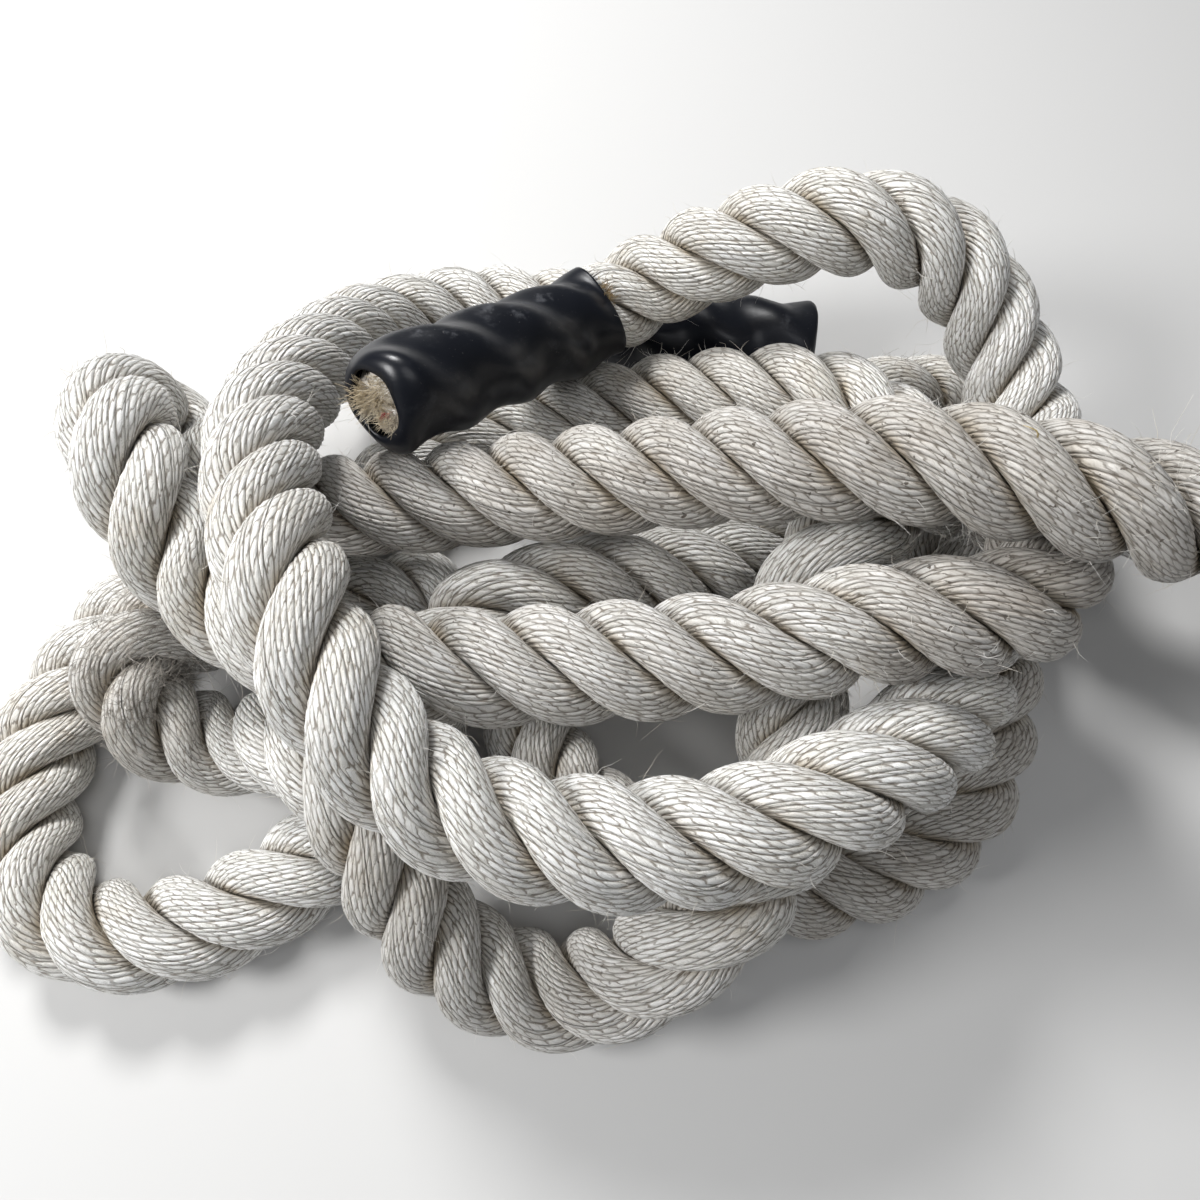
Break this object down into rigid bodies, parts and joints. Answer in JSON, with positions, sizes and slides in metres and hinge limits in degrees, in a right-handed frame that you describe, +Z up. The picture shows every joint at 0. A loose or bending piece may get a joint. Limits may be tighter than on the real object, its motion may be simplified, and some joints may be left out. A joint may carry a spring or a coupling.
{
  "type": "coiled rope",
  "caption": "Thick three-strand laid rope lying in a loose, tangled coil, worn and frayed, with a black shrink sleeve on each end.",
  "frame": {"origin": "middle of the heap's footprint, on the surface it lies on", "axes": "+Z up; +X to the right and +Y away from the side with the wide front curve; both sleeves are at the +Y side"},
  "size_m": [0.5397, 0.3298, 0.1534],
  "materials": {
    "rope_fibre": "satin twisted yarn, worn and dirty",
    "open_end_sleeve": "glossy shrink tube",
    "far_end_sleeve": "glossy shrink tube"
  },
  "bodies": {
    "root": {"rope": "rope_fibre", "open_end_sleeve": "open_end_sleeve", "far_end_sleeve": "far_end_sleeve"}
  },
  "joints": []
}
